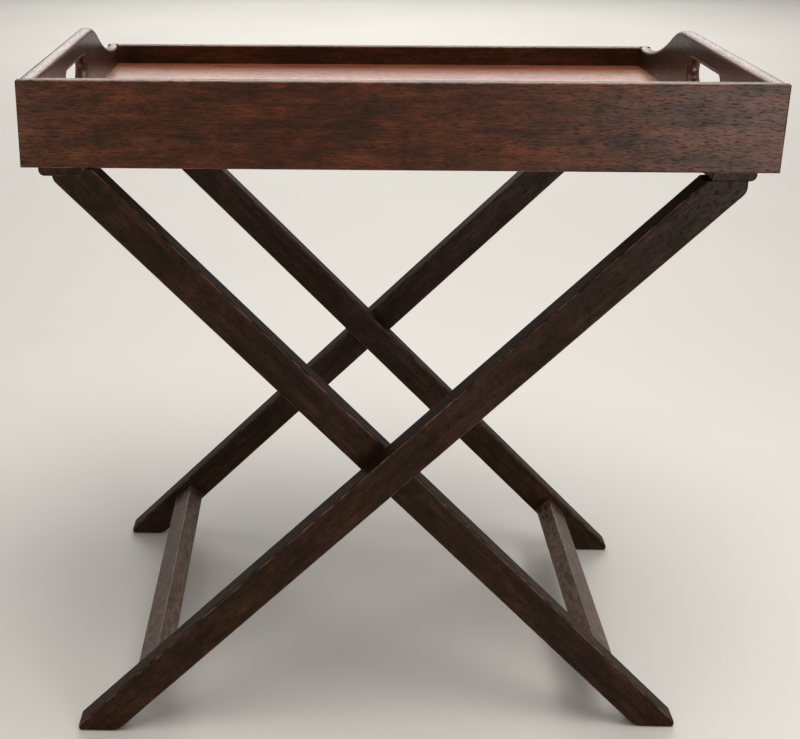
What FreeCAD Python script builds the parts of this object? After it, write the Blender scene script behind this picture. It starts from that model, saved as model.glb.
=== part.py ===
import FreeCAD, Part
import math
import os
from types import SimpleNamespace

import Sketcher
from FreeCAD import Placement, Rotation, Vector

# Folding tray table: a wooden tray with two raised ends lies on an X-shaped stand.
# Millimetres. X runs along the tray, Y across it, Z up; the floor is Z = 0 and the
# stand's middle is the origin. The outer frame rises to +X, the inner frame to -X.

doc = FreeCAD.newDocument("folding_tray_table")
sheet = doc.addObject("Spreadsheet::Sheet", "Sizes")

drivingSizes = {
    # tray
    "tray_length": 595,
    "tray_width": 478,
    "tray_underside": 556,
    "board_thickness": 12,
    "high_side_height": 69,
    "low_side_height": 27.5,
    "corner_rebate": 6,
    "panel_thickness": 8,
    "tongue_thickness": 4,
    "tongue_length": 4.5,
    "groove_depth": 5,
    # sweep of the end boards, measured from the middle of the tray
    "sweep_start": 48,
    "sweep_end": 223,
    "sweep_crown_radius": 112,
    # hand slots
    "slot_length": 108,
    "slot_height": 20,
    "slot_lower_edge": 28,
    "slot_middle": -32,
    "slot_edge_round": 5,
    "end_top_round": 4.5,
    "side_top_round": 1.5,
    "edge_round": 1.2,
    # corner pins
    "pin_diameter": 1.8,
    "pin_length": 24,
    "pin_cover": 1,
    "pin_margin": 10,
    # stand
    "stand_inset": 30.5,
    "leg_width": 31,
    "leg_thickness": 23,
    "leg_gap": 1,
    "foot_draw_in": 15.5,
    "foot_reach": 15.5,
    "head_inset": 4.5,
    "head_tip_inset": 6,
    "head_corner_round": 10,
    "heel_round": 15,
    "toe_top_round": 7,
    "toe_round": 3,
    "leg_edge_round": 2.4,
    "rail_width": 36,
    "rail_thickness": 14,
    "rail_inset": 7.5,
    "rail_corner_round": 5,
    "stretcher_width": 27,
    "stretcher_thickness": 20,
    "stretcher_from_foot": 75,
    "stretcher_drop": 2.5,
    "dowel_diameter": 6,
    "dowel_length": 30,
    "dowel_in_leg": 12,
    "dowel_spacing": 13,
    "dowel_chamfer": 1,
    "hole_end_space": 1,
    "screw_diameter": 4,
    "screw_head_diameter": 8,
    "screw_head_height": 2.4,
    "screw_length": 28,
    "screw_sunk": 0.4,
    "screw_spacing": 10,
    "screw_from_tip": 12,
    # pivots
    "bolt_diameter": 8,
    "bolt_thread_diameter": 6,
    "bolt_thread_length": 12,
    "bolt_head_diameter": 12.5,
    "bolt_head_height": 3.4,
    "bolt_socket_diameter": 5,
    "bolt_socket_depth": 2,
    "insert_diameter": 10,
    "insert_length": 13,
    "bushing_diameter": 11,
    "washer_diameter": 20,
    "head_washer_diameter": 14,
    "head_washer_thickness": 1,
    "counterbore_diameter": 15,
    "counterbore_depth": 9,
    "plug_thickness": 4,
    "running_clearance": 0.05,
    "end_play": 0.1,
    # straps
    "strap_width": 40,
    "strap_thickness": 1.6,
    "strap_leg_gap": 9.5,
    "strap_overlap": 25,
    "strap_clearance": 0.3,
    "tack_head_diameter": 9,
    "tack_head_height": 2.2,
    "tack_shank_diameter": 2,
    "tack_grip": 8,
    "tack_spacing": 18,
    "tack_from_end": 11,
    "tack_hole_clearance": 0.3,
}


class Size:
    # One length: its number, and the sheet expression the number comes from.
    def __init__(self, value, text):
        self.value = value
        self.text = text

    def __add__(self, other):
        other = size_of(other)
        return Size(self.value + other.value, f"({self.text} + {other.text})")

    def __sub__(self, other):
        other = size_of(other)
        return Size(self.value - other.value, f"({self.text} - {other.text})")

    def __mul__(self, other):
        other = size_of(other)
        return Size(self.value * other.value, f"{self.text} * {other.text}")

    def __truediv__(self, other):
        other = size_of(other)
        return Size(self.value / other.value, f"({self.text} / {other.text})")

    def __neg__(self):
        return Size(-self.value, f"(-1 * {self.text})")

    def __radd__(self, other):
        return size_of(other) + self

    def __rsub__(self, other):
        return size_of(other) - self

    def __rmul__(self, other):
        return size_of(other) * self


def size_of(value):
    return value if isinstance(value, Size) else Size(value, f"({value})")


def root(value):
    return Size(math.sqrt(value.value), f"sqrt({value.text})")


def write_sheet():
    named = {}
    for row, (name, value) in enumerate(drivingSizes.items(), start=1):
        sheet.set(f"A{row}", name)
        sheet.set(f"B{row}", str(value))
        sheet.setAlias(f"B{row}", name)
        named[name] = Size(value, f"Sizes.{name}")
    doc.recompute()
    return SimpleNamespace(**named)


s = write_sheet()

# ---------------------------------------------------------------- building blocks

planeNames = {"across": "YZ_Plane", "front": "XZ_Plane", "flat": "XY_Plane"}


def bind(thing, prop, size):
    thing.setExpression(prop, size_of(size).text)


def place(thing, x=0, y=0, z=0, rotation=None):
    x, y, z = (size_of(value) for value in (x, y, z))
    thing.Placement = Placement(Vector(x.value, y.value, z.value), rotation or Rotation())
    for axis, size in (("x", x), ("y", y), ("z", z)):
        bind(thing, f"Placement.Base.{axis}", size)


def new_body(name):
    body = doc.addObject("PartDesign::Body", name)
    body.Label = name
    place(body)
    return body


def fix_point(sketch, geometry, end, u, v):
    # Dimensions one point of the sketch from its origin.
    for kind, size in (("DistanceX", u), ("DistanceY", v)):
        size = size_of(size)
        index = sketch.addConstraint(Sketcher.Constraint(kind, -1, 1, geometry, end, size.value))
        bind(sketch, f"Constraints[{index}]", size)


def arc_between(start, stop, radius, side):
    # The shorter arc from start to stop; side 1 bulges to the right of the way there.
    chord = stop - start
    half = chord.Length / 2
    rise = radius - math.sqrt(max(radius ** 2 - half ** 2, 0))
    outward = Vector(chord.y, -chord.x, 0).normalize() * side
    return Part.Arc(start, start + chord / 2 + outward * rise, stop)


def draw_loop(sketch, points):
    # points: (u, v) or (u, v, radius, side) where the stretch to the next point is an arc.
    first = sketch.GeometryCount
    corners = [Vector(size_of(p[0]).value, size_of(p[1]).value, 0) for p in points]
    for index, point in enumerate(points):
        start = corners[index]
        stop = corners[(index + 1) % len(points)]
        if len(point) == 2:
            sketch.addGeometry(Part.LineSegment(start, stop))
        else:
            sketch.addGeometry(arc_between(start, stop, size_of(point[2]).value, point[3]))
    for index, point in enumerate(points):
        line = first + index
        following = first + (index + 1) % len(points)
        # A sketch always stores an arc counter-clockwise: side -1 arcs start at their far end.
        line_start, line_end = ends_of(sketch, line, corners[index])
        next_start, _ = ends_of(sketch, following, corners[(index + 1) % len(points)])
        sketch.addConstraint(Sketcher.Constraint("Coincident", line, line_end, following, next_start))
        fix_point(sketch, line, line_start, point[0], point[1])
        if len(point) > 2:
            radius = size_of(point[2])
            bend = sketch.addConstraint(Sketcher.Constraint("Radius", line, radius.value))
            bind(sketch, f"Constraints[{bend}]", radius)


def ends_of(sketch, geometry, start):
    near = (sketch.getPoint(geometry, 1) - start).Length < exactly
    return (1, 2) if near else (2, 1)


def draw_ring(sketch, u, v, diameter):
    diameter = size_of(diameter)
    centre = Vector(size_of(u).value, size_of(v).value, 0)
    ring = sketch.addGeometry(Part.Circle(centre, Vector(0, 0, 1), diameter.value / 2))
    index = sketch.addConstraint(Sketcher.Constraint("Diameter", ring, diameter.value))
    bind(sketch, f"Constraints[{index}]", diameter)
    fix_point(sketch, ring, 3, u, v)


def sketch_in(body, name, plane, offset=0):
    # Sketch on one of the body's own planes, moved by offset the way the plane faces.
    sketch = body.newObject("Sketcher::SketchObject", f"{body.Name}_{name}")
    role = planeNames[plane]
    origin_plane = next(f for f in body.Origin.OriginFeatures if f.Role == role)
    sketch.AttachmentSupport = [(origin_plane, "")]
    sketch.MapMode = "FlatFace"
    offset = size_of(offset)
    sketch.AttachmentOffset = Placement(Vector(0, 0, offset.value), Rotation())
    bind(sketch, "AttachmentOffset.Base.z", offset)
    return sketch


def pad(body, sketch, length, both_ways=True):
    doc.recompute()
    feature = body.newObject("PartDesign::Pad", f"{sketch.Name}_pad")
    feature.Profile = sketch
    bind(feature, "Length", length)
    feature.SideType = "Symmetric" if both_ways else "One side"
    body.Tip = feature
    doc.recompute()
    return feature


def cut(body, sketch, depth=None, toward=None):
    # Cuts through everything both ways, or to a depth in the given direction.
    doc.recompute()
    before = body.Shape.Volume
    feature = body.newObject("PartDesign::Pocket", f"{sketch.Name}_cut")
    feature.Profile = sketch
    if depth is None:
        feature.Type = "ThroughAll"
        feature.SideType = "Symmetric"
    else:
        normal = sketch.Placement.Rotation.multVec(Vector(0, 0, 1))
        feature.Reversed = normal.dot(toward) > 0
        bind(feature, "Length", depth)
    body.Tip = feature
    doc.recompute()
    if body.Shape.Volume > before - 1e-3:
        raise RuntimeError(f"{feature.Name} removed nothing")
    return feature


def round_edges(body, name, radius, wanted):
    doc.recompute()
    tip = body.Tip
    picked = [f"Edge{i}" for i, edge in enumerate(tip.Shape.Edges, start=1) if wanted(edge)]
    feature = body.newObject("PartDesign::Fillet", f"{body.Name}_{name}")
    feature.Base = (tip, picked)
    bind(feature, "Radius", radius)
    body.Tip = feature
    doc.recompute()
    return feature


# Edges are picked by place: exactly on a plane, or inside a box with this much room.
exactly = 1e-4
closeEnough = 0.1


def spans(edge):
    box = edge.BoundBox
    return box.XLength, box.YLength, box.ZLength


def runs_along(edge, axis):
    others = [span for i, span in enumerate(spans(edge)) if i != axis]
    return max(others) < exactly and spans(edge)[axis] > exactly


def lies_at(edge, axis, value):
    middle = edge.BoundBox.Center
    return spans(edge)[axis] < exactly and abs(middle[axis] - value) < exactly


def turned_group(name, profile, spots):
    # Separate solids of revolution sharing one half profile of (radius, height[, arc]).
    sketch = doc.addObject("Sketcher::SketchObject", f"{name}_profile")
    draw_loop(sketch, profile)
    sketch.Placement = Placement(Vector(), Rotation(Vector(1, 0, 0), 90))
    doc.recompute()
    pieces = []
    for index, (x, y, z, direction) in enumerate(spots, start=1):
        piece = doc.addObject("Part::Revolution", f"{name}_{index}")
        piece.Source = sketch
        piece.Axis = Vector(0, 0, 1)
        piece.Base = Vector(0, 0, 0)
        piece.Angle = 360
        piece.Solid = True
        place(piece, x, y, z, Rotation(Vector(0, 0, 1), direction))
        pieces.append(piece)
    group = doc.addObject("Part::Compound", name)
    group.Label = name
    group.Links = pieces
    place(group)
    return group


def cylinder_profile(diameter, length, chamfer=0):
    radius = diameter / 2
    if chamfer == 0:
        return [(0, 0), (radius, 0), (radius, length), (0, length)]
    return [
        (0, 0),
        (radius - chamfer, 0),
        (radius, chamfer),
        (radius, length - chamfer),
        (radius - chamfer, length),
        (0, length),
    ]


def sleeve_profile(outer_diameter, inner_diameter, length):
    outer = outer_diameter / 2
    inner = inner_diameter / 2
    return [(inner, 0), (outer, 0), (outer, length), (inner, length)]


# ---------------------------------------------------------------- tray

halfLength = s.tray_length / 2
halfWidth = s.tray_width / 2
innerLength = s.tray_length - 2 * s.board_thickness
innerWidth = s.tray_width - 2 * s.board_thickness
tongueLow = (s.panel_thickness - s.tongue_thickness) / 2
tongueHigh = tongueLow + s.tongue_thickness


def tray_side(name, side, height):
    # Long board. Local Z = 0 is the tray's underside; side -1 is the high one.
    # The sketch is the board's plan, seen from above.
    body = new_body(name)
    place(body, 0, 0, s.tray_underside)
    outer = side * halfWidth
    rebate_face = outer - side * (s.board_thickness - s.corner_rebate)
    inner = outer - side * s.board_thickness
    shoulder = halfLength - s.board_thickness
    plan = sketch_in(body, "plan", "flat")
    draw_loop(plan, [
        (-halfLength, outer),
        (halfLength, outer),
        (halfLength, rebate_face),
        (shoulder, rebate_face),
        (shoulder, inner),
        (-shoulder, inner),
        (-shoulder, rebate_face),
        (-halfLength, rebate_face),
    ])
    pad(body, plan, height, both_ways=False)
    groove = sketch_in(body, "groove", "flat", tongueLow)
    floor = inner + side * s.groove_depth
    overrun = s.board_thickness
    draw_loop(groove, [
        (-halfLength, inner - side * overrun),
        (halfLength, inner - side * overrun),
        (halfLength, floor),
        (-halfLength, floor),
    ])
    cut(body, groove, s.tongue_thickness, Vector(0, 0, 1))
    pins = sketch_in(body, "pins", "front", -rebate_face)
    for end in (-1, 1):
        for level in pin_levels(height):
            draw_ring(pins, end * (halfLength - s.board_thickness / 2), level, s.pin_diameter)
    depth = s.board_thickness - s.corner_rebate - s.pin_cover
    cut(body, pins, depth, Vector(0, side, 0))
    outer_y = outer.value
    top = height.value
    ends = halfLength.value
    round_edges(body, "outer_round", s.edge_round, lambda e: (
        lies_at(e, 1, outer_y) and not lies_at(e, 2, top)))
    round_edges(body, "top_round", s.side_top_round, lambda e: (
        lies_at(e, 2, top) and runs_along(e, 0) and spans(e)[0] > ends))
    return body


def pin_levels(height):
    # Two pins in a low corner, three in a tall one.
    low = s.pin_margin
    high = s.low_side_height - s.pin_margin
    if height.value > 2 * s.low_side_height.value:
        return [low, height / 2, height - s.pin_margin]
    return [low, high]


traySides = {
    -1: tray_side("tray_high_side", -1, s.high_side_height),
    1: tray_side("tray_low_side", 1, s.low_side_height),
}

# The sweep falls from the high side's level to the low one in two arcs that meet
# tangentially. halfSlope is the tangent of half the angle at which they meet.
sweepRun = s.sweep_end - s.sweep_start
sweepDrop = s.high_side_height - s.low_side_height
halfSlope = sweepDrop / sweepRun
sweepSine = 2 * halfSlope / (1 + halfSlope * halfSlope)
sweepVersine = 2 * halfSlope * halfSlope / (1 + halfSlope * halfSlope)
sweepHollowRadius = sweepRun / sweepSine - s.sweep_crown_radius
slotRadius = s.slot_height / 2
slotLevel = s.slot_lower_edge + slotRadius


def tray_end(name, side):
    # End board. Local Z = 0 is the tray's underside; side -1 is the left end.
    body = new_body(name)
    place(body, side * (halfLength - s.board_thickness / 2), 0, s.tray_underside)
    reach = halfWidth - (s.board_thickness - s.corner_rebate)
    outline = sketch_in(body, "outline", "across")
    draw_loop(outline, [
        (-reach, 0),
        (reach, 0),
        (reach, s.low_side_height),
        (s.sweep_end, s.low_side_height, sweepHollowRadius, -1),
        (
            s.sweep_start + s.sweep_crown_radius * sweepSine,
            s.high_side_height - s.sweep_crown_radius * sweepVersine,
            s.sweep_crown_radius,
            1,
        ),
        (s.sweep_start, s.high_side_height),
        (-reach, s.high_side_height),
    ])
    pad(body, outline, s.board_thickness)
    slot = sketch_in(body, "slot", "across")
    straight = s.slot_length / 2 - slotRadius
    near = s.slot_middle - straight
    far = s.slot_middle + straight
    draw_loop(slot, [
        (near, slotLevel - slotRadius),
        (far, slotLevel - slotRadius, slotRadius, 1),
        (far + slotRadius, slotLevel, slotRadius, 1),
        (far, slotLevel + slotRadius),
        (near, slotLevel + slotRadius, slotRadius, 1),
        (near - slotRadius, slotLevel, slotRadius, 1),
    ])
    cut(body, slot)
    groove = sketch_in(body, "groove", "flat", tongueLow)
    inner = -side * s.board_thickness / 2
    draw_loop(groove, [
        (inner - side * s.board_thickness, -halfWidth),
        (inner + side * s.groove_depth, -halfWidth),
        (inner + side * s.groove_depth, halfWidth),
        (inner - side * s.board_thickness, halfWidth),
    ])
    cut(body, groove, s.tongue_thickness, Vector(0, 0, 1))
    for corner, board_side, height in (
        ("high", -1, s.high_side_height),
        ("low", 1, s.low_side_height),
    ):
        holes = sketch_in(body, f"{corner}_pins", "front", -board_side * reach)
        for level in pin_levels(height):
            draw_ring(holes, 0, level, s.pin_diameter)
        depth = s.pin_length - (s.board_thickness - s.corner_rebate - s.pin_cover)
        cut(body, holes, depth, Vector(0, -board_side, 0))
    outer_x = side * s.board_thickness.value / 2
    slot_low = s.slot_lower_edge.value
    slot_high = slot_low + s.slot_height.value
    slot_near = (near - slotRadius).value
    slot_far = (far + slotRadius).value

    def on_face(edge):
        return lies_at(edge, 0, outer_x) or lies_at(edge, 0, -outer_x)

    def in_slot(edge):
        box = edge.BoundBox
        inside_y = box.YMin > slot_near - closeEnough and box.YMax < slot_far + closeEnough
        return inside_y and box.ZMin > slot_low - closeEnough and box.ZMax < slot_high + closeEnough

    round_edges(body, "slot_round", s.slot_edge_round, lambda e: on_face(e) and in_slot(e))
    low = s.low_side_height.value
    last = reach.value
    round_edges(body, "top_round", s.end_top_round, lambda e: (
        on_face(e) and e.BoundBox.ZMin > low - closeEnough and e.BoundBox.YMax < last + closeEnough
        and spans(e)[1] > s.pin_diameter.value and not in_slot(e)))
    return body


trayEnds = [tray_end("tray_left_end", -1), tray_end("tray_right_end", 1)]


def tray_panel():
    # Field that fills the well, with a thinner tongue all round held in the grooves.
    body = new_body("tray_panel")
    place(body, 0, 0, s.tray_underside)
    for name, extra, low, thickness in (
        ("field", 0, 0, s.panel_thickness),
        ("tongue", s.tongue_length, tongueLow, s.tongue_thickness),
    ):
        plan = sketch_in(body, name, "flat", low)
        x = innerLength / 2 + extra
        y = innerWidth / 2 + extra
        draw_loop(plan, [(-x, -y), (x, -y), (x, y), (-x, y)])
        pad(body, plan, thickness, both_ways=False)
    return body


tray_panel()


def corner_pins():
    # Headless pins through the long boards' rebates into the ends of the end boards.
    start = halfWidth - s.pin_cover
    spots = []
    for side, height in ((-1, s.high_side_height), (1, s.low_side_height)):
        for end in (-1, 1):
            for level in pin_levels(height):
                spots.append((
                    end * (halfLength - s.board_thickness / 2),
                    side * start,
                    s.tray_underside + level,
                    Vector(0, -side, 0),
                ))
    turned_group("tray_corner_pins", cylinder_profile(s.pin_diameter, s.pin_length), spots)


corner_pins()

# ---------------------------------------------------------------- stand

# The stand's spread follows the tray: its rails lie just inside the tray's ends.
railUnderside = s.tray_underside - s.rail_thickness
railOuterEdge = halfLength - s.rail_inset
railInnerEdge = railOuterEdge - s.rail_width
standDepth = s.tray_width - 2 * s.stand_inset
headTip = railOuterEdge - s.head_tip_inset
headCentre = railOuterEdge - s.head_inset
footCentre = headCentre - s.foot_draw_in
footTip = footCentre + s.foot_reach
# Unit vector up a leg's axis, as (along X, along Z), for a leg that rises to +X.
axisRun = footCentre + headCentre
axisLength = root(axisRun * axisRun + s.tray_underside * s.tray_underside)
axisX = axisRun / axisLength
axisZ = s.tray_underside / axisLength
pivotLevel = footCentre * s.tray_underside / axisRun
outerLegY = standDepth / 2 - s.leg_thickness / 2
innerLegY = outerLegY - s.leg_thickness - s.leg_gap
strapY = innerLegY - s.leg_thickness / 2 - s.strap_leg_gap - s.strap_width / 2


def edge_x(level, side):
    # X where a leg's edge crosses a level: side 1 is the lower edge, -1 the upper one.
    centre = -footCentre + level * axisRun / s.tray_underside
    return centre + side * (s.leg_width / 2) / axisZ


def edge_z(x, side):
    # Level at which a leg's edge crosses an X.
    centre = (x + footCentre) * s.tray_underside / axisRun
    return centre - side * (s.leg_width / 2) / axisX


def along_leg(distance, offset=0):
    # Point (x, z) at a distance up the axis from the floor, offset to the upper side.
    distance = size_of(distance)
    offset = size_of(offset)
    return (
        -footCentre + distance * axisX - offset * axisZ,
        distance * axisZ + offset * axisX,
    )


def dowel_points():
    half = s.dowel_spacing / 2
    return [
        along_leg(s.stretcher_from_foot + end * half, -s.stretcher_drop)
        for end in (-1, 1)
    ]


def screw_columns():
    return [headTip - s.screw_from_tip - i * s.screw_spacing for i in (0, 1)]


def leg(name, frame, side):
    # frame 1 rises to +X, -1 to -X; side -1 is the front. The pivot side faces the
    # other frame, the stretcher side faces the middle of the stand.
    body = new_body(name)
    middle = outerLegY if frame == 1 else innerLegY
    place(body, 0, side * middle, 0)
    outline = sketch_in(body, "outline", "front")
    draw_loop(outline, [
        (frame * -footTip, size_of(0)),
        (frame * edge_x(size_of(0), 1), size_of(0)),
        (frame * headTip, edge_z(headTip, 1)),
        (frame * headTip, railUnderside),
        (frame * edge_x(railUnderside, -1), railUnderside),
        (frame * -footTip, edge_z(-footTip, -1)),
    ])
    pad(body, outline, s.leg_thickness)
    half = s.leg_thickness / 2
    inward = Vector(0, -side, 0)
    outward = Vector(0, side, 0)
    if frame == 1:
        hole = sketch_in(body, "insert_hole", "front", side * half)
        draw_ring(hole, 0, pivotLevel, s.insert_diameter)
        cut(body, hole, s.insert_length + s.hole_end_space, outward)
    else:
        hole = sketch_in(body, "bushing_hole", "front")
        draw_ring(hole, 0, pivotLevel, s.bushing_diameter)
        cut(body, hole)
        recess = sketch_in(body, "counterbore", "front", side * half)
        draw_ring(recess, 0, pivotLevel, s.counterbore_diameter)
        cut(body, recess, s.counterbore_depth, outward)
    dowels = sketch_in(body, "dowel_holes", "front", side * half)
    for x, z in dowel_points():
        draw_ring(dowels, frame * x, z, s.dowel_diameter)
    cut(body, dowels, s.dowel_in_leg + s.hole_end_space, outward)
    screws = sketch_in(body, "screw_holes", "flat", railUnderside)
    for x in screw_columns():
        draw_ring(screws, frame * x, 0, s.screw_diameter)
    cut(body, screws, s.screw_length - s.rail_thickness + s.screw_sunk, Vector(0, 0, -1))
    round_leg(body, frame)
    return body


def round_leg(body, frame):
    # Corners of the outline first, then the long edges of both faces; the joint faces
    # at the head and the holes stay sharp.
    half = s.leg_thickness.value / 2
    floor = size_of(0)
    for name, radius, x, z in (
        ("toe", s.toe_round, -footTip, floor),
        ("toe_top", s.toe_top_round, -footTip, edge_z(-footTip, -1)),
        ("heel", s.heel_round, edge_x(floor, 1), floor),
        ("head_corner", s.head_corner_round, headTip, edge_z(headTip, 1)),
    ):
        corner_x = frame * x.value
        corner_z = z.value
        round_edges(body, name, radius, lambda e: (
            runs_along(e, 1) and lies_at(e, 0, corner_x) and lies_at(e, 2, corner_z)))
    top = railUnderside.value
    widest_hole = s.counterbore_diameter.value + closeEnough

    def is_long(edge):
        on_face = lies_at(edge, 1, half) or lies_at(edge, 1, -half)
        is_hole = edge.isClosed() and max(spans(edge)) < widest_hole
        return on_face and not is_hole and not lies_at(edge, 2, top)

    round_edges(body, "long_edges", s.leg_edge_round, is_long)


for frameName, frameSign in (("outer", 1), ("inner", -1)):
    for sideName, sideSign in (("front", -1), ("back", 1)):
        leg(f"{frameName}_leg_{sideName}", frameSign, sideSign)


def strap_rows():
    # Y of every tack: two across each strap.
    return [
        strap_side * strapY + tack_side * s.tack_spacing / 2
        for strap_side in (-1, 1)
        for tack_side in (-1, 1)
    ]


tackX = railInnerEdge + s.strap_overlap - s.tack_from_end
# Widening of a screw head per unit of its height.
screwFlare = (s.screw_head_diameter - s.screw_diameter) / 2 / s.screw_head_height


def top_rail(name, frame):
    # Flat board across the two leg heads, its outer lower edge rounded.
    body = new_body(name)
    section = sketch_in(body, "section", "front")
    draw_loop(section, [
        (frame * railInnerEdge, railUnderside),
        (frame * railOuterEdge, railUnderside),
        (frame * railOuterEdge, s.tray_underside),
        (frame * railInnerEdge, s.tray_underside),
    ])
    pad(body, section, standDepth)
    screw_rows = [side * (outerLegY if frame == 1 else innerLegY) for side in (-1, 1)]
    drilled = sketch_in(body, "screw_holes", "flat", s.tray_underside)
    for y in screw_rows:
        for x in screw_columns():
            draw_ring(drilled, frame * x, y, s.screw_diameter)
    doc.recompute()
    hole = body.newObject("PartDesign::Hole", f"{name}_screw_seats")
    hole.Profile = drilled
    hole.DepthType = "ThroughAll"
    hole.HoleCutType = "Countersink"
    hole.HoleCutCustomValues = True
    bind(hole, "Diameter", s.screw_diameter)
    bind(hole, "HoleCutDiameter", s.screw_head_diameter + 2 * s.screw_sunk * screwFlare)
    hole.setExpression("HoleCutCountersinkAngle", f"2 * atan({screwFlare.text})")
    body.Tip = hole
    tacks = sketch_in(body, "tack_holes", "flat", railUnderside)
    for y in strap_rows():
        draw_ring(tacks, frame * tackX, y, s.tack_shank_diameter)
    cut(body, tacks, s.tack_grip + s.hole_end_space, Vector(0, 0, 1))
    outer = frame * railOuterEdge.value
    low = railUnderside.value
    round_edges(body, "outer_corner", s.rail_corner_round, lambda e: (
        runs_along(e, 1) and lies_at(e, 0, outer) and lies_at(e, 2, low)))
    end = standDepth.value / 2
    inner = frame * railInnerEdge.value
    round_edges(body, "edges", s.edge_round, lambda e: (
        lies_at(e, 1, end) or lies_at(e, 1, -end)
        or (runs_along(e, 1) and spans(e)[1] > end and lies_at(e, 0, inner))))
    return body


def rail_screws(name, frame):
    tip = s.screw_diameter
    shank = s.screw_diameter / 2
    profile = [
        (0, 0),
        (s.screw_head_diameter / 2, 0),
        (shank, s.screw_head_height),
        (shank, s.screw_length - tip),
        (0, s.screw_length),
    ]
    y = outerLegY if frame == 1 else innerLegY
    spots = [
        (frame * x, side * y, s.tray_underside - s.screw_sunk, Vector(0, 0, -1))
        for side in (-1, 1)
        for x in screw_columns()
    ]
    return turned_group(name, profile, spots)


def stretcher(name, frame):
    # Bar between the two legs of a frame, square to the leg's axis.
    body = new_body(name)
    section = sketch_in(body, "section", "front")
    corners = [
        along_leg(s.stretcher_from_foot + a * s.stretcher_width / 2,
                  b * s.stretcher_thickness / 2 - s.stretcher_drop)
        for a, b in ((-1, -1), (1, -1), (1, 1), (-1, 1))
    ]
    draw_loop(section, [(frame * x, z) for x, z in corners])
    leg_y = outerLegY if frame == 1 else innerLegY
    length = 2 * (leg_y - s.leg_thickness / 2)
    pad(body, section, length)
    whole = length.value
    round_edges(body, "edges", s.edge_round, lambda e: (
        runs_along(e, 1) and spans(e)[1] > whole - closeEnough))
    for side in (-1, 1):
        holes = sketch_in(body, f"dowel_holes_{'front' if side < 0 else 'back'}", "front",
                          -side * length / 2)
        for x, z in dowel_points():
            draw_ring(holes, frame * x, z, s.dowel_diameter)
        depth = s.dowel_length - s.dowel_in_leg + s.hole_end_space
        cut(body, holes, depth, Vector(0, -side, 0))
    return body


def stretcher_dowels(name, frame):
    y = (outerLegY if frame == 1 else innerLegY) - s.leg_thickness / 2 + s.dowel_in_leg
    spots = [
        (frame * x, side * y, z, Vector(0, -side, 0))
        for side in (-1, 1)
        for x, z in dowel_points()
    ]
    profile = cylinder_profile(s.dowel_diameter, s.dowel_length, s.dowel_chamfer)
    return turned_group(name, profile, spots)


for frameName, frameSign in (("outer", 1), ("inner", -1)):
    top_rail(f"{frameName}_top_rail", frameSign)
    rail_screws(f"{frameName}_rail_screws", frameSign)
    stretcher(f"{frameName}_stretcher", frameSign)
    stretcher_dowels(f"{frameName}_stretcher_dowels", frameSign)

# ---------------------------------------------------------------- pivots

outerLegFace = outerLegY - s.leg_thickness / 2
innerLegFace = innerLegY - s.leg_thickness / 2
boreFloor = innerLegFace + s.counterbore_depth


def at_pivots(name, profile, y, turned=1):
    # One piece at each crossing; turned 1 grows outward, away from the stand's middle.
    spots = [(0, side * y, pivotLevel, Vector(0, turned * side, 0)) for side in (-1, 1)]
    return turned_group(name, profile, spots)


boltHole = s.bolt_diameter + 2 * s.running_clearance
headStart = boreFloor - s.head_washer_thickness - s.end_play - s.bolt_head_height
shankEnd = outerLegFace - headStart
at_pivots("pivot_bolts", [
    (0, s.bolt_socket_depth),
    (s.bolt_socket_diameter / 2, s.bolt_socket_depth),
    (s.bolt_socket_diameter / 2, 0),
    (s.bolt_head_diameter / 2, 0),
    (s.bolt_head_diameter / 2, s.bolt_head_height),
    (s.bolt_diameter / 2, s.bolt_head_height),
    (s.bolt_diameter / 2, shankEnd),
    (s.bolt_thread_diameter / 2, shankEnd),
    (s.bolt_thread_diameter / 2, shankEnd + s.bolt_thread_length),
    (0, shankEnd + s.bolt_thread_length),
], headStart)
at_pivots("pivot_inserts", sleeve_profile(
    s.insert_diameter, s.bolt_thread_diameter, s.insert_length), outerLegFace)
at_pivots("pivot_bushings", sleeve_profile(
    s.bushing_diameter, boltHole, s.leg_thickness - s.counterbore_depth), boreFloor)
at_pivots("pivot_spacers", sleeve_profile(
    s.washer_diameter, boltHole, s.leg_gap), outerLegFace - s.leg_gap)
at_pivots("pivot_head_washers", sleeve_profile(
    s.head_washer_diameter, boltHole, s.head_washer_thickness),
    boreFloor - s.head_washer_thickness)
at_pivots("pivot_plugs", cylinder_profile(s.counterbore_diameter, s.plug_thickness), innerLegFace)

# ---------------------------------------------------------------- straps


def strap(name, side):
    # Webbing stretched under the rails, a little clear of them and of its tacks.
    body = new_body(name)
    place(body, 0, side * strapY, 0)
    upper = railUnderside - s.strap_clearance
    reach = railInnerEdge + s.strap_overlap
    half = s.strap_width / 2
    plan = sketch_in(body, "plan", "flat", upper - s.strap_thickness)
    draw_loop(plan, [(-reach, -half), (reach, -half), (reach, half), (-reach, half)])
    for frame in (-1, 1):
        for tack_side in (-1, 1):
            draw_ring(plan, frame * tackX, tack_side * s.tack_spacing / 2,
                      s.tack_shank_diameter + 2 * s.tack_hole_clearance)
    pad(body, plan, s.strap_thickness, both_ways=False)
    return body


strap("strap_front", -1)
strap("strap_back", 1)


def strap_tacks(name, frame):
    # Domed heads below the strap, shanks up through it into the rail.
    head = s.tack_head_diameter / 2
    height = s.tack_head_height
    dome = (head * head + height * height) / (2 * height)
    shank = s.tack_shank_diameter / 2
    stem = 2 * s.strap_clearance + s.strap_thickness + s.tack_grip
    profile = [
        (0, 0, dome, 1),
        (head, height),
        (shank, height),
        (shank, height + stem - s.tack_shank_diameter),
        (0, height + stem),
    ]
    low = railUnderside - 2 * s.strap_clearance - s.strap_thickness - height
    spots = [(frame * tackX, y, low, Vector(0, 0, 1)) for y in strap_rows()]
    return turned_group(name, profile, spots)


strap_tacks("outer_strap_tacks", 1)
strap_tacks("inner_strap_tacks", -1)

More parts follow.
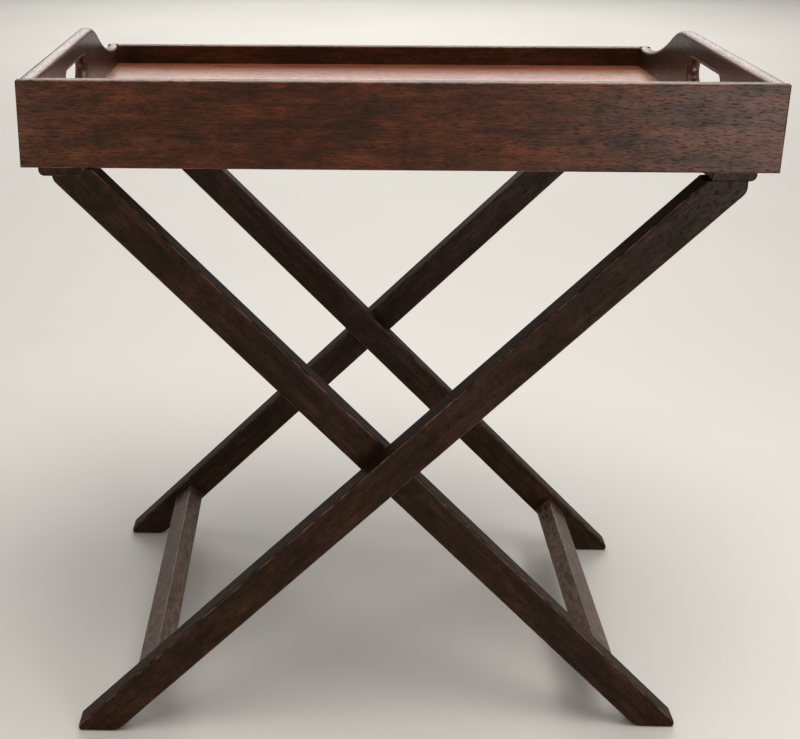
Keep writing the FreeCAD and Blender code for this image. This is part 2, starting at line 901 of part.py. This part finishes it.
# ---------------------------------------------------------------- check and write

doc.recompute()
for thing in doc.Objects:
    faults = {"Invalid", "Error"} & set(thing.State)
    if faults:
        raise RuntimeError(f"{thing.Name}: {sorted(faults)}")
nodes = [
    thing for thing in doc.Objects
    if thing.TypeId in ("PartDesign::Body", "Part::Compound")
]
os.makedirs("parts", exist_ok=True)
for node in nodes:
    if node.Shape.isNull() or not node.Shape.isValid():
        raise RuntimeError(f"{node.Label}: bad shape")
    node.Shape.exportStep(f"parts/{node.Label}.step")
    print(node.Label, len(node.Shape.Solids), "solids", round(node.Shape.Volume / 1000, 2), "cm3")
print(len(nodes), "nodes written")
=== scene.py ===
import math

import bpy
import numpy as np
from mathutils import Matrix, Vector


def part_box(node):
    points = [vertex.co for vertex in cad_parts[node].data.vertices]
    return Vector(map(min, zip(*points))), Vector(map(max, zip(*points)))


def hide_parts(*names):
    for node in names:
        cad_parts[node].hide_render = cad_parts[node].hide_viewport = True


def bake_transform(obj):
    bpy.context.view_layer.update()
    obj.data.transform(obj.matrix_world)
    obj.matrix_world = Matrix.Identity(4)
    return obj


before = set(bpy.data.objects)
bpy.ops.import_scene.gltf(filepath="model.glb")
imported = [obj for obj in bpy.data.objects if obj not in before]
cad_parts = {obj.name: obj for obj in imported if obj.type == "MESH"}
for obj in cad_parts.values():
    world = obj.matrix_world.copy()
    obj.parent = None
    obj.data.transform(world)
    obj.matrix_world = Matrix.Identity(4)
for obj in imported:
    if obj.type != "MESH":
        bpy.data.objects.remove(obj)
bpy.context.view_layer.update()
print("frame loaded with", len(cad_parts), "nodes")


class Wire:
    # one output socket; a sum on it adds a Math node
    def __init__(self, tree, socket):
        self.tree = tree
        self.socket = socket

    def worked(self, operation, other=0.0):
        return addNode(self.tree, "ShaderNodeMath", {"operation": operation}, {0: self, 1: other})

    def __add__(self, other):
        return self.worked("ADD", other)

    def __radd__(self, other):
        return self.worked("ADD", other)

    def __sub__(self, other):
        return self.worked("SUBTRACT", other)

    def __rsub__(self, other):
        return addNode(self.tree, "ShaderNodeMath", {"operation": "SUBTRACT"}, {0: other, 1: self})

    def __mul__(self, other):
        return self.worked("MULTIPLY", other)

    def __rmul__(self, other):
        return self.worked("MULTIPLY", other)


def addNode(tree, kind, settings, sockets, output=0):
    # settings first, because they decide which sockets there are; "stops" are a ramp's
    node = tree.nodes.new(kind)
    for name, value in settings.items():
        if name != "stops":
            setattr(node, name, value)
            continue
        ramp = node.color_ramp
        while len(ramp.elements) < len(value):
            ramp.elements.new(1.0)
        for element, (position, colour) in zip(ramp.elements, value):
            element.position = position
            element.color = (*colour, 1.0)
    for name, value in sockets.items():
        if isinstance(value, Wire):
            tree.links.new(value.socket, node.inputs[name])
        else:
            node.inputs[name].default_value = value
    return Wire(tree, node.outputs[output])


def newFinish(name):
    finish = bpy.data.materials.new(name)
    finish.use_nodes = True
    finish.node_tree.nodes.clear()
    return finish, finish.node_tree


def closeFinish(tree, sockets):
    shader = addNode(tree, "ShaderNodeBsdfPrincipled", {}, sockets)
    surface = tree.nodes.new("ShaderNodeOutputMaterial")
    tree.links.new(shader.socket, surface.inputs["Surface"])


def grains(feature, shift=(0.0, 0.0, 0.0), detail=2.0, roughness=0.5, distortion=0.0):
    # feature is a grain's size in metres along the three turned axes; shift picks another part of the noise
    shape = {"Scale": 1.0, "Detail": detail, "Roughness": roughness, "Distortion": distortion}
    return {"feature": feature, "shift": shift, "shape": shape}


def noiseOf(tree, place, turn, pattern):
    # pattern is what grains gives; the noise runs from about 0 to 1, with 0.5 in the middle
    sockets = {"Vector": place, "Location": pattern["shift"], "Rotation": turn, "Scale": pattern["feature"]}
    moved = addNode(tree, "ShaderNodeMapping", {"vector_type": "TEXTURE"}, sockets)
    return addNode(tree, "ShaderNodeTexNoise", {}, {"Vector": moved, **pattern["shape"]})


def between(tree, value, span):
    # 0 below the span's low end, 1 above its high end, smooth between
    sockets = {"Value": value, "From Min": span[0], "From Max": span[1]}
    return addNode(tree, "ShaderNodeMapRange", {"interpolation_type": "SMOOTHSTEP"}, sockets)


def mixColour(tree, blend, share, first, second):
    # a colour is a wire or three numbers
    settings = {"data_type": "RGBA", "blend_type": blend}
    first = first if isinstance(first, Wire) else (*first, 1.0)
    second = second if isinstance(second, Wire) else (*second, 1.0)
    return addNode(tree, "ShaderNodeMix", settings, {0: share, 6: first, 7: second}, output=2)


# stained and lacquered wood; a grain turn carries X onto the length of the board

alongX = (0.0, 0.0, 0.0)
alongY = (0.0, 0.0, math.radians(90))
upRight = (0.0, math.radians(-45), 0.0)
upLeft = (0.0, math.radians(45), 0.0)
acrossX, acrossY, acrossZ = (1, 0, 0), (0, 1, 0), (0, 0, 1)

mahogany = {
    "dark": (0.021, 0.0062, 0.0009),
    "middle": (0.050, 0.0146, 0.0016),
    "light": (0.098, 0.0325, 0.0050),
    "pore": (0.015, 0.0042, 0.0010),
    "paleWearAndHighlight": (0.360, 0.1900, 0.1200),
    "russet": (1.02, 1.08, 0.80),
    "plum": (1.05, 0.86, 1.70),
    "figure": grains((0.140, 0.0110, 0.0110), detail=4.0, roughness=0.55, distortion=0.8),
    "fibre": grains((0.030, 0.0010, 0.0010), (0.31, 0.17, 0.09), detail=3.0, roughness=0.65),
    "pores": grains((0.0060, 0.0008, 0.0008), (0.05, 0.61, 0.33), detail=1.0),
    "blotches": grains((0.050, 0.020, 0.020), (0.7, 0.2, 0.4), detail=4.0, roughness=0.6, distortion=0.4),
    "patches": grains((0.0150, 0.0065, 0.0065), (0.1, 0.5, 0.8), detail=4.0, roughness=0.7),
    "dust": grains((0.012, 0.006, 0.006), (0.2, 0.9, 0.5), detail=3.0, roughness=0.6),
    "figureShare": 0.55,  # how far each pattern moves the colour along its ramp
    "fibreShare": 0.60,
    "blotchShare": 0.75,
    "patchShare": 0.70,
    "contrast": 1.0,
    "rampStops": (0.30, 0.50, 0.72),
    "poreSpan": (0.54, 0.68),
    "poreDepth": 0.7,
    "hueSpan": (0.42, 0.58),
    "patchHue": 0.7,  # shares of the two patterns in the mask between russet and plum
    "blotchHue": 0.3,
    # the arris keys pale the arrises: partly rubbed wear, partly a painted highlight along every arris
    "arrisSpan": (0.03, 0.24),
    "wearAndHighlightSpan": (0.38, 0.62),
    "dustWearAndHighlight": 0.6,  # shares of the two patterns in the mask that breaks up the pale arrises, partly wear and partly painted highlight
    "patchWearAndHighlight": 0.4,
    "wear": 0.6,
    "gloss": 0.20,
    "smoothness": 0.24,
    "specular": 0.20,
    "roughness": 0.46,
    "dustRough": 0.22,  # what each pattern adds to the roughness
    "poreRough": 0.12,
    "wearRough": 0.1,
    "blotchGloss": 0.2,  # how the coat varies with each pattern
    "poreDull": 0.15,
    "wearDull": 0.15,
    "bump": 0.22,
    "bumpHeight": 0.0006,
    "fibreHeight": 0.5,  # shares of the relief; the pores are cut into it, deepest of all
    "figureHeight": 0.4,
    "poreHeight": 0.9,
}
walnut = {
    **mahogany,
    "dark": (0.0095, 0.0042, 0.0011),
    "middle": (0.0225, 0.0098, 0.0026),
    "light": (0.0460, 0.0220, 0.0075),
    "pore": (0.0060, 0.0026, 0.0010),
    "paleWearAndHighlight": (0.230, 0.1400, 0.0900),
    "russet": (1.00, 1.04, 0.90),
    "plum": (1.04, 0.92, 1.30),
    "contrast": 0.8,
    "gloss": 0.10,
    "smoothness": 0.27,
    "specular": 0.12,
    "roughness": 0.50,
}
endWood = {**mahogany, "gloss": 0.42, "specular": 0.40, "smoothness": 0.20}
barWood = {
    **walnut,
    "dark": (0.024, 0.0130, 0.0065),
    "middle": (0.050, 0.0290, 0.0160),
    "light": (0.088, 0.0550, 0.0330),
    "gloss": 0.36,
    "specular": 0.40,
}
floorWood = {
    **mahogany,
    "dark": (0.122, 0.0340, 0.0100),
    "middle": (0.195, 0.0580, 0.0190),
    "light": (0.275, 0.0910, 0.0350),
    "pore": (0.070, 0.0230, 0.0095),
    "paleWearAndHighlight": (0.420, 0.230, 0.160),
    "russet": (1.06, 0.98, 0.92),
    "plum": (0.96, 0.98, 1.12),
    "contrast": 0.8,
    "gloss": 0.45,
    "smoothness": 0.34,
    "specular": 0.40,
    "roughness": 0.42,
}


def stainedWood(name, look, turn, thickness):
    # colour: broad figure bands and fine fibres on a ramp, darkened in the pores, blotched by the stain,
    # turned redder or bluer in patches, and paler on the arrises between faces and edges, partly rubbed
    # wear and partly a painted highlight
    finish, tree = newFinish(name)
    place = addNode(tree, "ShaderNodeTexCoord", {}, {}, output="Object")
    patterns = ("figure", "fibre", "blotches", "patches", "dust", "pores")
    noises = [noiseOf(tree, place, turn, look[pattern]) for pattern in patterns]
    figure, fibre, blotch, patch, dust, flecks = noises
    pores = between(tree, flecks, look["poreSpan"])

    spread = (figure - 0.5) * look["figureShare"] + (fibre - 0.5) * look["fibreShare"]
    spread = spread + (blotch - 0.5) * look["blotchShare"] + (patch - 0.5) * look["patchShare"]
    stops = list(zip(look["rampStops"], (look["dark"], look["middle"], look["light"])))
    stain = addNode(tree, "ShaderNodeValToRGB", {"stops": stops}, {"Fac": spread * look["contrast"] + 0.5})
    hueMask = patch * look["patchHue"] + blotch * look["blotchHue"]
    cooler = between(tree, hueMask, look["hueSpan"])
    hue = mixColour(tree, "MIX", cooler, look["russet"], look["plum"])
    stain = mixColour(tree, "MULTIPLY", 1.0, stain, hue)
    stain = mixColour(tree, "MIX", pores * look["poreDepth"], stain, look["pore"])

    facing = addNode(tree, "ShaderNodeTexCoord", {}, {}, output="Normal")
    settings = {"operation": "DOT_PRODUCT"}
    flat = addNode(tree, "ShaderNodeVectorMath", settings, {0: facing, 1: thickness}, output="Value")
    flat = flat.worked("ABSOLUTE")
    edgewise = (1.0 - flat * flat).worked("SQRT")
    arris = 1.0 - flat.worked("MAXIMUM", edgewise)  # 0 on a face, 0.29 half way round an arris
    broken = dust * look["dustWearAndHighlight"] + patch * look["patchWearAndHighlight"]
    # painted highlight: the arrises are paled partly as rubbed wear and partly to stand in for the light
    # they catch
    wear = between(tree, arris, look["arrisSpan"]) * between(tree, broken, look["wearAndHighlightSpan"])
    stain = mixColour(tree, "MIX", wear * look["wear"], stain, look["paleWearAndHighlight"])

    uneven = (dust - 0.5) * look["dustRough"] + pores * look["poreRough"] + wear * look["wearRough"]
    coat = (blotch - 0.5) * look["blotchGloss"] - pores * look["poreDull"] - wear * look["wearDull"]
    relief = fibre * look["fibreHeight"] + figure * look["figureHeight"] - pores * look["poreHeight"]
    sockets = {"Strength": look["bump"], "Distance": look["bumpHeight"], "Height": relief}
    closeFinish(
        tree,
        {
            "Base Color": stain,
            "Roughness": uneven + look["roughness"],
            "Specular IOR Level": look["specular"],
            "Coat Weight": coat + look["gloss"],
            "Coat Roughness": look["smoothness"],
            "Normal": addNode(tree, "ShaderNodeBump", {}, sockets),
        },
    )
    return finish


finishes = {
    "tray_wood": stainedWood("trayBoards", mahogany, alongX, acrossY),
    "tray_end_wood": stainedWood("trayEnds", endWood, alongY, acrossX),
    "panel_wood": stainedWood("trayFloor", floorWood, alongX, acrossZ),
    "outer_leg_wood": stainedWood("outerLegs", walnut, upRight, acrossY),
    "inner_leg_wood": stainedWood("innerLegs", walnut, upLeft, acrossY),
    "rail_wood": stainedWood("topRails", walnut, alongY, acrossZ),
    "stretcher_wood": stainedWood("stretchers", barWood, alongY, acrossZ),
    # the plugs get less of the pale arris, which is partly wear and partly painted highlight
    "plug_wood": stainedWood("boltPlugs", {**walnut, "wear": 0.3}, upRight, acrossY),
}
print("wood finishes:", len(finishes))


# bare beech, metals and plastic

beechLook = {
    "dark": (0.36, 0.235, 0.135),
    "light": (0.60, 0.435, 0.275),
    "fleck": (0.27, 0.165, 0.095),
    "fibre": grains((0.020, 0.0007, 0.0007), detail=3.0, roughness=0.6),
    "rays": grains((0.0022, 0.0004, 0.0004), (0.4, 0.1, 0.7), detail=1.0),
    "rampStops": (0.3, 0.7),
    "raySpan": (0.62, 0.72),
    "rayDepth": 0.7,
    "roughness": 0.62,
    "fibreRough": 0.12,
    "bump": 0.3,
    "bumpHeight": 0.0004,
}


def bareBeech(look):
    # a pale ramp along the fibres, with short darker ray flecks
    finish, tree = newFinish("beechDowels")
    place = addNode(tree, "ShaderNodeTexCoord", {}, {}, output="Object")
    fibre = noiseOf(tree, place, alongY, look["fibre"])
    rays = noiseOf(tree, place, alongY, look["rays"])
    stops = list(zip(look["rampStops"], (look["dark"], look["light"])))
    wood = addNode(tree, "ShaderNodeValToRGB", {"stops": stops}, {"Fac": fibre})
    flecks = between(tree, rays, look["raySpan"]) * look["rayDepth"]
    wood = mixColour(tree, "MIX", flecks, wood, look["fleck"])
    rough = fibre * look["fibreRough"] + look["roughness"]
    sockets = {"Strength": look["bump"], "Distance": look["bumpHeight"], "Height": fibre}
    bump = addNode(tree, "ShaderNodeBump", {}, sockets)
    closeFinish(tree, {"Base Color": wood, "Roughness": rough, "Normal": bump})
    return finish


steelLook = {
    "clean": (0.52, 0.53, 0.55),
    "dull": (0.30, 0.31, 0.33),
    "roughness": 0.26,
    "tarnish": 0.5,
    "tarnishRough": 0.3,
    "markRough": 0.2,
    "tarnishMetal": 0.25,  # how far tarnish takes the metal down
    "patches": grains((0.0045, 0.0045, 0.0045), detail=4.0, roughness=0.65, distortion=0.6),
    "patchSpan": (0.45, 0.72),
    "marks": grains((0.0030, 0.0003, 0.0003), (0.3, 0.3, 0.1), detail=2.0, roughness=0.6),
    "bump": 0.2,
    "bumpHeight": 0.0002,
}
brassLook = {
    **steelLook,
    "clean": (0.62, 0.42, 0.16),
    "dull": (0.22, 0.13, 0.055),
    "roughness": 0.24,
    "tarnish": 0.75,
}


def wornMetal(name, look):
    # clean metal with darker tarnish in patches and fine rubbing marks in its gloss
    finish, tree = newFinish(name)
    place = addNode(tree, "ShaderNodeTexCoord", {}, {}, output="Object")
    patches = noiseOf(tree, place, alongX, look["patches"])
    marks = noiseOf(tree, place, alongX, look["marks"])
    tarnish = between(tree, patches, look["patchSpan"]) * look["tarnish"]
    rough = tarnish * look["tarnishRough"] + (marks - 0.5) * look["markRough"]
    sockets = {"Strength": look["bump"], "Distance": look["bumpHeight"], "Height": marks}
    closeFinish(
        tree,
        {
            "Base Color": mixColour(tree, "MIX", tarnish, look["clean"], look["dull"]),
            "Metallic": 1.0 - tarnish * look["tarnishMetal"],
            "Roughness": rough + look["roughness"],
            "Normal": addNode(tree, "ShaderNodeBump", {}, sockets),
        },
    )
    return finish


plasticLook = {
    "base": (0.030, 0.028, 0.026),
    "scuffed": (0.085, 0.080, 0.075),
    "scuffs": grains((0.0035, 0.0006, 0.0035), detail=4.0, roughness=0.6, distortion=0.5),
    "scuffSpan": (0.5, 0.75),
    "scuffDepth": 0.6,
    "roughness": 0.42,
    "scuffRough": 0.2,
    "bump": 0.15,
    "bumpHeight": 0.0002,
}


def washerPlastic(look):
    # dark plastic, rubbed paler and rougher in scuffs
    finish, tree = newFinish("spacerPlastic")
    place = addNode(tree, "ShaderNodeTexCoord", {}, {}, output="Object")
    scuffs = noiseOf(tree, place, alongX, look["scuffs"])
    rubbed = between(tree, scuffs, look["scuffSpan"]) * look["scuffDepth"]
    colour = mixColour(tree, "MIX", rubbed, look["base"], look["scuffed"])
    sockets = {"Strength": look["bump"], "Distance": look["bumpHeight"], "Height": scuffs}
    bump = addNode(tree, "ShaderNodeBump", {}, sockets)
    rough = scuffs * look["scuffRough"] + look["roughness"]
    closeFinish(tree, {"Base Color": colour, "Roughness": rough, "Normal": bump})
    return finish


finishes["beech"] = bareBeech(beechLook)
finishes["steel"] = wornMetal("zincSteel", steelLook)
finishes["brass"] = wornMetal("dullBrass", brassLook)
finishes["spacer_plastic"] = washerPlastic(plasticLook)
print("hardware finishes ready")


# webbing straps between the two top rails

webbing = {
    "ribs": 22,  # warp ribs across the strap
    "ribDepth": 0.00012,
    "twillLength": 0.0042,
    "warpGap": 0.0011,
    "weftGap": 0.0014,
    "sag": 0.0001,
    "draw": 0.006,  # share of the width that the selvedges draw in and out
    "drawLength": 0.031,
    "stepsAlong": 560,
    "stepsAcross": 132,
    "edgeCurve": 0.9,  # powers of the section's cosine and sine: 1 is an ellipse, lower is squarer
    "faceCurve": 0.18,
    "yarn": (0.058, 0.036, 0.024),
    "shadow": (0.012, 0.007, 0.005),
    "fuzz": (0.120, 0.083, 0.060),
    "fuzzSpan": (0.50, 0.72),
    "fuzzDepth": 0.55,
    "twillShare": 0.25,  # shares of the twill's steps and of the crossing yarns in the weave
    "yarnShare": 0.25,
    "wear": grains((0.020, 0.008, 0.008), detail=4.0, roughness=0.65),
    "fluff": grains((0.0006, 0.0006, 0.0006), (0.2, 0.4, 0.1), detail=2.0, roughness=0.6),
    "wearShare": 0.6,  # shares of the two patterns in the mask of the fuzz
    "fluffShare": 0.4,
    "fluffHeight": 0.3,
    "fluffRough": 0.15,
    "roughness": 0.86,
    "sheen": 0.35,
    "bump": 0.6,
    "bumpHeight": 0.0003,
}


def webbingFinish(look, width):
    # a herringbone: warp and weft cross in diagonal steps that turn back at each quarter of the width
    finish, tree = newFinish("strapWebbing")
    woven = addNode(tree, "ShaderNodeUVMap", {"uv_map": "UVMap"}, {})
    along = addNode(tree, "ShaderNodeSeparateXYZ", {}, {"Vector": woven}, output="X")
    across = addNode(tree, "ShaderNodeSeparateXYZ", {}, {"Vector": woven}, output="Y")
    wave = 2 * math.pi
    turnBack = across.worked("PINGPONG", width / 4)
    twill = ((along + turnBack) * (wave / look["twillLength"])).worked("SINE")
    warp = (across * (wave / look["warpGap"])).worked("SINE")
    weft = (along * (wave / look["weftGap"])).worked("SINE")
    weave = twill * look["twillShare"] + warp * weft * look["yarnShare"] + 0.5
    place = addNode(tree, "ShaderNodeTexCoord", {}, {}, output="Object")
    wear = noiseOf(tree, place, alongX, look["wear"])
    fluff = noiseOf(tree, place, alongX, look["fluff"])
    yarn = mixColour(tree, "MIX", weave, look["shadow"], look["yarn"])
    rubbed = wear * look["wearShare"] + fluff * look["fluffShare"]
    fuzz = between(tree, rubbed, look["fuzzSpan"]) * look["fuzzDepth"]
    yarn = mixColour(tree, "MIX", fuzz, yarn, look["fuzz"])
    relief = weave + fluff * look["fluffHeight"]
    sockets = {"Strength": look["bump"], "Distance": look["bumpHeight"], "Height": relief}
    closeFinish(
        tree,
        {
            "Base Color": yarn,
            "Roughness": (fluff - 0.5) * look["fluffRough"] + look["roughness"],
            "Sheen Weight": look["sheen"],
            "Normal": addNode(tree, "ShaderNodeBump", {}, sockets),
        },
    )
    return finish


def meshPiece(name, points, faces, finish, uv=None):
    # uv has one pair of numbers for each point
    mesh = bpy.data.meshes.new(name)
    mesh.from_pydata(points, [], faces)
    if uv is not None:
        layer = mesh.uv_layers.new(name="UVMap")
        corner = np.empty(len(mesh.loops), dtype=np.int32)
        mesh.loops.foreach_get("vertex_index", corner)
        layer.data.foreach_set("uv", uv[corner].astype(np.float32).ravel())
    mesh.shade_smooth()
    mesh.materials.append(finish)
    piece = bpy.data.objects.new(name, mesh)
    bpy.context.scene.collection.objects.link(piece)
    return piece


def gridFaces(rows, columns):
    # quads of a tube that closes round its columns, with the winding that points outwards
    row, column = np.meshgrid(np.arange(rows - 1), np.arange(columns), indexing="ij")
    after = (column + 1) % columns
    here, beyond = row * columns, (row + 1) * columns
    quads = [here + column, here + after, beyond + after, beyond + column]
    return np.stack([quad.ravel() for quad in quads], axis=1)


def strapPiece(name, node, look, finish):
    # a flat section with ribbed faces and rolled selvedges, carried along X and closed at both ends
    lo, hi = (np.array(corner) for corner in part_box(node))
    middle = (lo + hi) / 2
    halfWidth, halfThick = (hi[1] - lo[1]) / 2, (hi[2] - lo[2]) / 2
    turn = np.linspace(0, 2 * np.pi, look["stepsAcross"], endpoint=False)
    # superellipse: half width times the cosine to one power, half thickness times the sine to another
    y = halfWidth * np.sign(np.cos(turn)) * np.abs(np.cos(turn)) ** look["edgeCurve"]
    face = np.sign(np.sin(turn)) * np.abs(np.sin(turn)) ** look["faceCurve"]
    groove = (1 - np.cos(np.pi * y / halfWidth * look["ribs"])) / 2
    ribs = 1 - look["ribDepth"] / halfThick * groove
    z = halfThick * face * ribs
    x = np.linspace(lo[0], hi[0], look["stepsAlong"])
    along = (x - middle[0]) / (hi[0] - middle[0])
    # both selvedges draw in and out a hair along the strap, as a woven tape's do
    draw = 1 - look["draw"] * (1 + np.sin(x * 2 * np.pi / look["drawLength"])) / 2
    sag = look["sag"] * (1 - along**2)
    points = np.empty((len(x), len(y), 3))
    points[..., 0] = x[:, None]
    points[..., 1] = middle[1] + y[None, :] * draw[:, None]
    points[..., 2] = middle[2] + z[None, :] * (1 - sag[:, None] / halfThick)
    uv = np.empty((len(x), len(y), 2))
    uv[..., 0] = x[:, None] - lo[0]
    uv[..., 1] = y[None, :] + halfWidth
    faces = gridFaces(len(x), len(y)).tolist()
    lastRow = (len(x) - 1) * len(y)
    faces.append(list(range(len(y)))[::-1])
    faces.append(list(range(lastRow, lastRow + len(y))))
    piece = meshPiece(name, points.reshape(-1, 3), faces, finish, uv.reshape(-1, 2))
    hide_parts(node)
    return piece, lo, hi


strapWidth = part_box("strap_front")[1][1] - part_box("strap_front")[0][1]
webbingMaterial = webbingFinish(webbing, strapWidth)
for side in ("front", "back"):
    strap, strapLow, strapHigh = strapPiece(f"webbing_{side}", f"strap_{side}", webbing, webbingMaterial)
    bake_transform(strap)
print("webbing straps made")


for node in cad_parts.values():
    for entry in node.material_slots:
        if entry.material and entry.material.name in finishes:
            entry.material = finishes[entry.material.name]
print("finishes on the CAD nodes")


studio = {
    "floorSize": 14.0,
    "floorColour": (0.61, 0.598, 0.572),
    "floorFleck": (0.55, 0.538, 0.512),
    "floorCloud": grains((0.6, 0.6, 0.6), detail=3.0),
    "floorRoughness": 0.62,
    "cloudRough": 0.1,
    "sky": (1.0, 0.985, 0.965),
    "skyStrength": 0.34,
    "gamma": 0.86,
    "exposure": 0.0,
}
lights = {
    "overhead": {
        "place": (0.3, -0.35, 2.5),
        "aim": (0, 0, 0.4),
        "size": 1.8,
        "power": 60,
        "tint": (1.0, 0.97, 0.93),
    },
    "backGlow": {
        "place": (0.2, 4.6, 2.7),
        "aim": (0, 2.4, 0),
        "size": 4.0,
        "power": 150,
        "tint": (1.0, 0.98, 0.95),
    },
    "frontRight": {
        "place": (1.0, -2.0, 0.45),
        "aim": (0.3, -0.24, 0.5),
        "size": 0.8,
        "power": 20,
        "tint": (1.0, 0.97, 0.95),
    },
    "frontLeft": {
        "place": (-1.0, -1.9, 0.4),
        "aim": (-0.3, -0.24, 0.5),
        "size": 0.5,
        "power": 9,
        "tint": (1.0, 0.80, 0.68),
    },
}
viewpoint = {
    "place": (-0.05774, -1.29688, 0.8075),
    "pitchDown": 21.19,
    "turn": 1.91,
    "lens": 61.67,
    "sensor": 36.0,
    "shift": (0.1519, -0.0142),
}


def studioFloor(look):
    # one flat pale square, faintly clouded
    finish, tree = newFinish("studioFloor")
    place = addNode(tree, "ShaderNodeTexCoord", {}, {}, output="Object")
    cloud = noiseOf(tree, place, alongX, look["floorCloud"])
    colour = mixColour(tree, "MIX", cloud, look["floorFleck"], look["floorColour"])
    rough = cloud * look["cloudRough"] + look["floorRoughness"]
    closeFinish(tree, {"Base Color": colour, "Roughness": rough})
    half = look["floorSize"] / 2
    points = np.array([(-half, -half, 0), (half, -half, 0), (half, half, 0), (-half, half, 0)], float)
    meshPiece("studioFloor", points, [(0, 1, 2, 3)], finish)


studioFloor(studio)
world = bpy.data.worlds.new("studioSky")
bpy.context.scene.world = world
world.use_nodes = True
sky = world.node_tree.nodes["Background"]
sky.inputs["Color"].default_value = (*studio["sky"], 1.0)
sky.inputs["Strength"].default_value = studio["skyStrength"]
for name, setting in lights.items():
    lamp = bpy.data.lights.new(name, "AREA")
    lamp.energy = setting["power"]
    lamp.size = setting["size"]
    lamp.color = setting["tint"]
    stand = bpy.data.objects.new(name, lamp)
    stand.location = setting["place"]
    aim = Vector(setting["aim"]) - stand.location
    stand.rotation_euler = aim.to_track_quat("-Z", "Y").to_euler()
    bpy.context.scene.collection.objects.link(stand)
print("floor and", len(lights), "lights ready")

lens = bpy.data.cameras.new("viewCamera")
lens.lens = viewpoint["lens"]
lens.sensor_width = viewpoint["sensor"]
lens.shift_x, lens.shift_y = viewpoint["shift"]
viewCamera = bpy.data.objects.new("viewCamera", lens)
viewCamera.location = viewpoint["place"]
pitch, turn = math.radians(viewpoint["pitchDown"]), math.radians(viewpoint["turn"])
viewCamera.rotation_euler = (math.pi / 2 - pitch, 0, turn)
bpy.context.scene.collection.objects.link(viewCamera)
bpy.context.scene.camera = viewCamera
view = bpy.context.scene.view_settings
view.view_transform = "Standard"
view.gamma = studio["gamma"]
view.exposure = studio["exposure"]
print("camera set")
